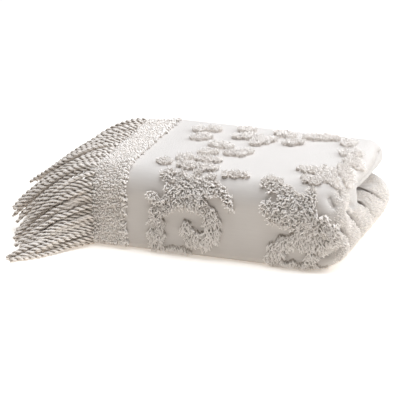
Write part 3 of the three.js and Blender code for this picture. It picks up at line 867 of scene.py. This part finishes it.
def tuft_tree():
    """Stands a bent, tapered tuft of yarn on every point, leaning the way that the point says."""
    growth = Growth("tufts", {"Length": "Float", "Radius": "Float", "Bend": "Float", "Seed": "Int",
                              "Material": "Material"})
    given = growth.given
    knee = growth.node("ShaderNodeCombineXYZ", {}, {"Z": given["Length"] * TUFT_FORM["knee"]})
    tip = growth.node("ShaderNodeCombineXYZ", {}, {"X": given["Bend"], "Z": given["Length"]})
    spine = growth.node("GeometryNodeCurveQuadraticBezier", {},
                        {"Resolution": TUFT_FORM["steps"], "Start": TUFT_FORM["root"],
                         "Middle": knee, "End": tip})
    factor = growth.node("GeometryNodeSplineParameter", {}, {})
    # How far up its tuft each place lies, which sets the painted shade at the roots
    spine = growth.note(spine, "rise", factor)
    rounding = (factor * (math.pi * TUFT_FORM["rounding"])).sine()
    swell = TUFT_FORM["foot"] + rounding * TUFT_FORM["belly"] - factor * TUFT_FORM["taper"]
    spine = growth.node("GeometryNodeSetCurveRadius", {}, {"Curve": spine, "Radius": swell})
    tuft = growth.swept(spine, growth.ring(TUFT_FORM["sides"], given["Radius"]))
    tuft = growth.node("GeometryNodeSetShadeSmooth", {}, {"Geometry": tuft})
    upright = growth.node("FunctionNodeAlignRotationToVector", {"axis": "Z"},
                          {"Vector": growth.noted("normal_way", "FLOAT_VECTOR")})
    turned = growth.node("FunctionNodeAlignRotationToVector", {"axis": "X", "pivot_axis": "Z"},
                         {"Rotation": upright, "Vector": growth.noted("lean_way", "FLOAT_VECTOR")})
    stood = growth.node("GeometryNodeInstanceOnPoints", {},
                        {"Points": given["Geometry"], "Instance": tuft, "Rotation": turned,
                         "Scale": growth.noted("tuft_size", "FLOAT")})
    return growth.dress(growth.note(stood, "tone", growth.random_number({}), domain="INSTANCE"))


def press_on_floor(mesh):
    """Presses whatever lies lowest, or would stand below the floor, into a thin layer just above it."""
    places = np.empty((len(mesh.vertices), 3))
    mesh.vertices.foreach_get("co", places.ravel())
    under = np.minimum(places[:, 2] / PRESSED_HEIGHT - 1.0, 0.0)
    places[:, 2] = np.where(under < 0.0, PRESSED_HEIGHT * np.exp(under / PRESSED_SOFTNESS), places[:, 2])
    mesh.vertices.foreach_set("co", places.ravel())


def grown(name, source_mesh, tree, values):
    """Runs a Geometry Nodes tree on a mesh and gives the result as a plain mesh object."""
    source = add_object(name + "_source", source_mesh)
    modifier = source.modifiers.new("grow", "NODES")
    modifier.node_group = tree
    for socket in tree.interface.items_tree:
        if socket.in_out == "INPUT" and socket.name in values:
            modifier[socket.identifier] = values[socket.name]
    evaluated = source.evaluated_get(bpy.context.evaluated_depsgraph_get())
    mesh = bpy.data.meshes.new_from_object(evaluated)
    press_on_floor(mesh)
    source.modifiers.remove(modifier)
    bpy.data.objects.remove(source)
    return add_object(name, mesh)


# Root colours are painted shade down among the tufts: the darkest for the relief and its ground, a paler one
# for the short pile
PILE = (0.985, 0.925, 0.865, 1.0)
PILE_SHADE = (0.97, 0.905, 0.84, 1.0)
PAINTED_ROOT_SHADE = (0.45, 0.38, 0.315, 1.0)
# A lit copy for the pile on top: its painted root shade is paler, as the top lies in full light
TOP_LIT_ROOT_SHADE = (0.82, 0.765, 0.71, 1.0)
SHORT_TUFT_ROOT_SHADE = (0.78, 0.727, 0.672, 1.0)


def pile_finish(name, root):
    """Cut chenille yarn: painted shade down among the roots, paler at the tips; no two tufts quite alike."""
    finish = Finish(name, {"Roughness": 0.95, "Sheen Weight": 0.3, "Sheen Roughness": 0.6,
                           "Specular IOR Level": 0.15})
    fuzz = finish.noise(finish.place(), scale=2600.0, detail=2.0)
    tuft = finish.blend(finish.attribute("tone"), PILE_SHADE, PILE)
    rise = finish.ramp(finish.attribute("rise"), low=0.12, high=0.65)
    finish.surface({"Base Color": finish.blend(rise, root, tuft),
                    "Normal": finish.bump(fuzz, distance=0.0006, strength=0.6)})
    return finish.material


def ground_finish():
    """The padded ground under the pile, with the shade of the tufts painted into its colour."""
    finish = Finish("tufted ground", {"Roughness": 0.95, "Sheen Weight": 0.2})
    knots = finish.noise(finish.place(), scale=700.0, detail=3.0)
    finish.surface({"Base Color": finish.blend(knots, PAINTED_ROOT_SHADE, PILE_SHADE),
                    "Normal": finish.bump(knots, distance=0.0012, strength=0.7)})
    return finish.material


bands = relief_bands()
ground = add_object("tufted_ground", loft_mesh(
    "tufted_ground", [ground_rings(*band_line(band, BAND_STEP)[:4]) for band in bands]))
pile_ground = ground_finish()
ground.data.materials.append(pile_ground)
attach(ground, "root")

chance = np.random.default_rng(TUFT_SEED)
tufting = tuft_tree()
pile = pile_finish("chenille pile", PAINTED_ROOT_SHADE)
pile_lit_on_top = pile_finish("top chenille pile", TOP_LIT_ROOT_SHADE)
short_pile = pile_finish("short chenille pile", SHORT_TUFT_ROOT_SHADE)
relief_places = np.concatenate([band_tufts(band, chance) for band in bands])
relief_places = thinned(relief_places, TUFT_SPACING * TUFT_CROWDING)
relief_places, relief_sizes = clumped(relief_places, stretch=1.0, hang=HANG, chance=chance)
relief_sizes *= mix(PRESSED_SHARE, 1.0, smooth(relief_places[:, 1], SHOULDER_START, FRONT_START))
# Tufts on the top take the lit copy of the pile's finish
on_top = relief_places[:, 1] - SHOULDER_START < chance.normal(*TOP_EDGE, len(relief_places))
at_left = relief_places[:, 0] < RELIEF_SPLIT
relief_parts = {
    "top": (on_top, pile_lit_on_top),
    "left": (~on_top & at_left, pile),
    "right": (~on_top & ~at_left, pile),
}
for part, (chosen, yarn) in relief_parts.items():
    name = "relief_pile_" + part
    points = tuft_points(name, relief_places[chosen], TUFT_FOOT, relief_sizes[chosen])
    piece = grown(name, points, tufting, {**TUFT, "Seed": TUFT_SEED, "Material": yarn})
    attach(piece, "root")

fuzz_places = fuzz_tufts(chance)
fuzz_sizes = FUZZ["size"] * chance.uniform(*FUZZ["uneven"], len(fuzz_places))
fuzz_sizes *= mix(FUZZ["thin"], 1.0, fuzz_at(fuzz_places[:, 0], fuzz_places[:, 1]))
fuzz_pile = grown("far_end_pile", tuft_points("far_end_pile", fuzz_places, 0.0, fuzz_sizes), tufting,
                  {**FUZZ_TUFT, "Seed": TUFT_SEED + 2, "Material": short_pile})
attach(fuzz_pile, "root")


# The border: a dense band of tufts along the short end, worked in close rows across the band.
# Its tufts draw together in long clumps or lie over to either side, and its inner edge is a little ragged.
BORDER = {"inset": 0.003, "width": 0.053, "start": 0.002, "end": UNDER_START - 0.004}
BORDER_GROUND = {"start": 0.001, "steps": 120}
BORDER_ROW_PITCH = 0.0030
BORDER_TUFT_PITCH = 0.0022
BORDER_TUFT = {"Length": 0.0032, "Radius": 0.0010, "Bend": 0.0024}
BORDER_CLUMP_STRETCH = {"top": 6.0, "front": 4.0}
BORDER_UNEVEN = {"edge": 0.0022, "along": 0.0006, "across": 0.0007, "lean": 0.5}
BORDER_RIM = {"width": 0.006, "rise": 0.35}
BORDER_PRESSED_TO = 0.16


def border_places(chance):
    rows = np.arange(BORDER["start"], BORDER["end"], BORDER_ROW_PITCH)
    places = []
    for index, row in enumerate(rows):
        ragged = chance.normal(0.0, BORDER_UNEVEN["edge"])
        u = np.arange(BORDER["inset"], BORDER["inset"] + BORDER["width"] + ragged, BORDER_TUFT_PITCH)
        u = u + chance.normal(0.0, BORDER_UNEVEN["along"], len(u))
        v = row + chance.normal(0.0, BORDER_UNEVEN["across"], len(u))
        lean = (math.pi if index % 2 else 0.0) + chance.normal(0.0, BORDER_UNEVEN["lean"], len(u))
        places.append(np.stack([u, v, lean], axis=1))
    return np.concatenate(places)


border_run = np.linspace(BORDER_GROUND["start"], UNDER_START, BORDER_GROUND["steps"])
border_middle = np.full_like(border_run, BORDER["inset"] + BORDER["width"] / 2)
border_width = np.full_like(border_run, BORDER["width"])
border_rings = ground_rings(border_middle, border_run, np.full_like(border_run, math.pi / 2), border_width)
border_ground = add_object("border_ground", loft_mesh("border_ground", [border_rings]))
border_ground.data.materials.append(pile_ground)
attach(border_ground, "root")

border_tufts = border_places(chance)
on_top = border_tufts[:, 1] < SHOULDER_START
top_tufts, top_sizes = clumped(
    border_tufts[on_top], stretch=BORDER_CLUMP_STRETCH["top"], hang=0.0, chance=chance)
front_tufts, front_sizes = clumped(
    border_tufts[~on_top], stretch=BORDER_CLUMP_STRETCH["front"], hang=0.0, chance=chance)
border = np.concatenate([top_tufts, front_tufts])
border_sizes = np.concatenate([top_sizes, front_sizes])
rim = smooth(border[:, 0], BORDER["width"] - BORDER_RIM["width"], BORDER["width"])
border_sizes *= 1.0 + BORDER_RIM["rise"] * rim
border_sizes *= mix(PRESSED_SHARE, 1.0, smooth(border[:, 1], BORDER_PRESSED_TO, SHOULDER_START))
border_points = tuft_points("border_pile", border, TUFT_FOOT, border_sizes)
border_pile = grown("border_pile", border_points, tufting,
                    {**BORDER_TUFT, "Seed": TUFT_SEED + 1, "Material": short_pile})
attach(border_pile, "root")


# The fringe: two-ply cotton cords, twisted and sewn by their roots to a narrow heading along the short end.
# They droop from the top, fan out down the front and lie splayed along the floor.
HEADING_GAP = 0.0003
HEADING_WIDTH = 0.008
ROOT_SINK = 0.010
CORD = {"Ply Radius": 0.0017, "Ply Offset": 0.0020, "Twist Pitch": 0.0200}
CORD_RADIUS = CORD["Ply Radius"] + CORD["Ply Offset"]
CORD_STEPS = 80
CORD_FORM = {"sides": 6, "taper": (0.955, 1.0), "tip": 0.45, "turn_spread": 12.0}
CORD_UNEVEN = {"root": 0.02, "stretch": 0.035, "out": 0.004, "splay": 0.006, "fall": 0.05,
               "wave": 0.0022, "heave": 0.0018, "waviness": (4.0, 8.0)}
DROOP_POWER = 1.62
SPLAY_POWER = {"top": 1.4, "foot": 0.9}
# How the cords lie by their place along the edge: out to the left, splayed to the front, and fallen
FAN = [
    {"v": 0.0, "out": 0.149, "splay": 0.0, "fall": 0.70},
    {"v": 0.127, "out": 0.154, "splay": 0.002, "fall": 0.77},
    {"v": SHOULDER_START, "out": 0.141, "splay": 0.010, "fall": 0.76},
    {"v": FRONT_START, "out": 0.107, "splay": 0.044, "fall": 0.92},
    {"v": 0.320, "out": 0.097, "splay": 0.096, "fall": 0.93},
    {"v": FOOT_START, "out": 0.095, "splay": 0.104, "fall": 0.95},
    {"v": UNDER_START, "out": 0.097, "splay": 0.100, "fall": 1.0},
    {"v": 0.430, "out": 0.117, "splay": 0.080, "fall": 1.0},
    {"v": OUTLINE_END, "out": 0.150, "splay": 0.0, "fall": 1.0},
]
CORD_ROWS = [
    {"name": "outer", "depth": 0.0, "pitch": 0.0076, "end": OUTLINE_END, "share": 1.0, "fall": 1.0,
     "looseness": 1.0, "seed": 21},
    {"name": "inner", "depth": 0.10, "pitch": 0.0076, "end": FOOT_START, "share": 0.93, "fall": 1.08,
     "looseness": 1.2, "seed": 22},
    {"name": "loose", "depth": -0.06, "pitch": 0.0170, "end": FOOT_START, "share": 0.97, "fall": 0.95,
     "looseness": 2.4, "seed": 23},
]


def fan_at(v, measure):
    return np.interp(v, [key["v"] for key in FAN], [key[measure] for key in FAN])


def cord_lines(row):
    """The middle lines of one row of cords, root to tip, a little uneven, and never below the floor."""
    chance = np.random.default_rng(row["seed"])
    v = np.arange(row["pitch"] / 2, row["end"], row["pitch"])
    count = len(v)
    root_x = np.full(count, FRINGE_END - HEADING_GAP - HEADING_WIDTH + ROOT_SINK)
    share = np.linspace(0.0, 1.0, CORD_STEPS + 1)[None, :]

    def uneven(measure):
        return chance.normal(0.0, CORD_UNEVEN[measure], count)

    def sway(measure):
        size = uneven(measure)[:, None]
        return size * np.sin(share * chance.uniform(*CORD_UNEVEN["waviness"], (count, 1)))

    root = settle(bundle_point(root_x, v, row["depth"] + uneven("root")))
    stretch = row["share"] * (1.0 + uneven("stretch"))
    out = fan_at(v, "out") * stretch + uneven("out")
    splay = fan_at(v, "splay") * stretch + uneven("splay") * row["looseness"]
    fall = fan_at(v, "fall") * row["fall"] * (1.0 + uneven("fall")) * root[:, 2]
    wave = sway("wave")
    heave = sway("heave")
    power = mix(SPLAY_POWER["top"], SPLAY_POWER["foot"], smooth(v, FRONT_START, FOOT_START))
    x = root[:, :1] - out[:, None] * share
    y = root[:, 1:2] - splay[:, None] * share ** power[:, None] + wave
    z = root[:, 2:] - fall[:, None] * share ** DROOP_POWER + heave
    return np.stack([x, y, np.maximum(z, CORD_RADIUS)], axis=-1)


def line_mesh(name, lines):
    count, steps = lines.shape[:2]
    index = np.arange(count * steps).reshape(count, steps)
    edges = np.stack([index[:, :-1].ravel(), index[:, 1:].ravel()], axis=1)
    mesh = bpy.data.meshes.new(name)
    mesh.from_pydata(lines.reshape(-1, 3).tolist(), edges.tolist(), [])
    return mesh


def cord_tree():
    """Twists two plies of yarn round each line."""
    growth = Growth("cords", {"Ply Radius": "Float", "Ply Offset": "Float", "Twist Pitch": "Float",
                              "Seed": "Int", "Material": "Material"})
    given = growth.given
    line = growth.node("GeometryNodeMeshToCurve", {}, {"Mesh": given["Geometry"]})
    factor = growth.node("GeometryNodeSplineParameter", {}, {}, output="Factor")
    run = growth.node("GeometryNodeSplineParameter", {}, {}, output="Length")
    taper = growth.ramp(factor, *CORD_FORM["taper"], start=1.0, end=CORD_FORM["tip"])
    line = growth.note(line, "run", run)
    cord = growth.node("GeometryNodeCurveOfPoint", {}, {}, output="Curve Index")
    tone = growth.random_number({"ID": cord})
    line = growth.note(line, "tone", tone)
    place = growth.node("GeometryNodeInputPosition", {}, {})
    line = growth.note(line, "core", place, data_type="FLOAT_VECTOR")
    normal = growth.node("GeometryNodeInputNormal", {}, {})
    tangent = growth.node("GeometryNodeInputTangent", {}, {})
    binormal = growth.node("ShaderNodeVectorMath", {"operation": "CROSS_PRODUCT"}, {0: tangent, 1: normal})
    ring = growth.ring(CORD_FORM["sides"], given["Ply Radius"])
    ring = growth.note(ring, "round", growth.node("GeometryNodeSplineParameter", {}, {}, output="Factor"))
    turns = run / given["Twist Pitch"]
    join = growth.tree.nodes.new("GeometryNodeJoinGeometry")
    for start in (0.0, math.pi):
        angle = turns * (2.0 * math.pi) + tone * CORD_FORM["turn_spread"] + start
        sideways = growth.node("ShaderNodeVectorMath", {"operation": "SCALE"},
                               {0: normal, "Scale": angle.cosine() * given["Ply Offset"] * taper})
        upward = growth.node("ShaderNodeVectorMath", {"operation": "SCALE"},
                             {0: binormal, "Scale": angle.sine() * given["Ply Offset"] * taper})
        offset = growth.node("ShaderNodeVectorMath", {"operation": "ADD"}, {0: sideways, 1: upward})
        ply = growth.node("GeometryNodeSetPosition", {}, {"Geometry": line, "Offset": offset})
        ply = growth.node("GeometryNodeSetCurveRadius", {}, {"Curve": ply, "Radius": taper})
        growth.tree.links.new(growth.swept(ply, ring).socket, join.inputs["Geometry"])
    # How far each place on the plies stands from the cord's middle, which sets the painted shade in the
    # grooves
    reach = growth.node("ShaderNodeVectorMath", {"operation": "DISTANCE"},
                        {0: place, 1: growth.noted("core", "FLOAT_VECTOR")}, output="Value")
    both = growth.note(Value(growth, join.outputs["Geometry"]), "proud", reach / given["Ply Offset"])
    return growth.dress(growth.node("GeometryNodeSetShadeSmooth", {}, {"Geometry": both}))


YARN = (0.955, 0.876, 0.798, 1.0)
YARN_SHADE = (0.83, 0.756, 0.683, 1.0)
# Painted shade: the colour down in the grooves where the two plies meet
CORD_GAP_SHADE = (0.42, 0.355, 0.297, 1.0)
FIBRE_PITCH = 0.0016
FIBRE_SLANT = 12.566
FIBRE_RISE = 0.6
FUZZ_RISE = 0.8
YARN_TONE = {"cord": 0.5, "fuzz": 0.3, "fibres": 0.2}


def cord_finish():
    """Twisted cotton yarn: fine slanting fibres round each ply, and cords of slightly different tone.
    Shade is painted into the grooves where the plies meet.
    """
    finish = Finish("twisted cotton cord", {"Roughness": 0.9, "Sheen Weight": 0.25, "Sheen Roughness": 0.5,
                                            "Specular IOR Level": 0.2})
    fuzz = finish.noise(finish.place(), scale=1800.0, detail=2.0)
    along = finish.attribute("run") * (2.0 * math.pi / FIBRE_PITCH)
    fibres = (along + finish.attribute("round") * FIBRE_SLANT).sine() * 0.5 + 0.5
    cord_tone = finish.attribute("tone") * YARN_TONE["cord"]
    shade = cord_tone + fuzz * YARN_TONE["fuzz"] + fibres * YARN_TONE["fibres"]
    ply_gap_shade = finish.ramp(finish.attribute("proud"), low=0.6, high=1.8)
    yarn = finish.blend(shade, YARN_SHADE, YARN)
    height = fibres * FIBRE_RISE + fuzz * FUZZ_RISE
    finish.surface({"Base Color": finish.blend(ply_gap_shade, CORD_GAP_SHADE, yarn),
                    "Normal": finish.bump(height, distance=0.0005, strength=0.6)})
    return finish.material


def heading_path(level):
    reach = np.array([HEADING_GAP, HEADING_GAP + HEADING_WIDTH / 2, HEADING_GAP + HEADING_WIDTH])
    flat = np.zeros_like(reach)
    depth = np.full_like(reach, level_depth(level))
    return {"inset": -reach, "along": flat, "bulge": flat, "depth": depth,
            "tangent_x": np.ones_like(reach), "tangent_depth": flat}


heading_plies = {"outer": heading_path(0), "inner": heading_path(1)}
heading = add_object("fringe_heading", shell_mesh(
    "fringe_heading", doubled_face(heading_plies, 1), doubled_face(heading_plies, -1)))
heading.data.materials.append(cloth.data.materials[0])
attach(heading, "root")

twisting = cord_tree()
cord_cotton = cord_finish()
for row in CORD_ROWS:
    name = "fringe_cords_" + row["name"]
    piece = grown(name, line_mesh(name, cord_lines(row)), twisting,
                  {**CORD, "Seed": row["seed"], "Material": cord_cotton})
    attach(piece, "root")
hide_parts("fringe")
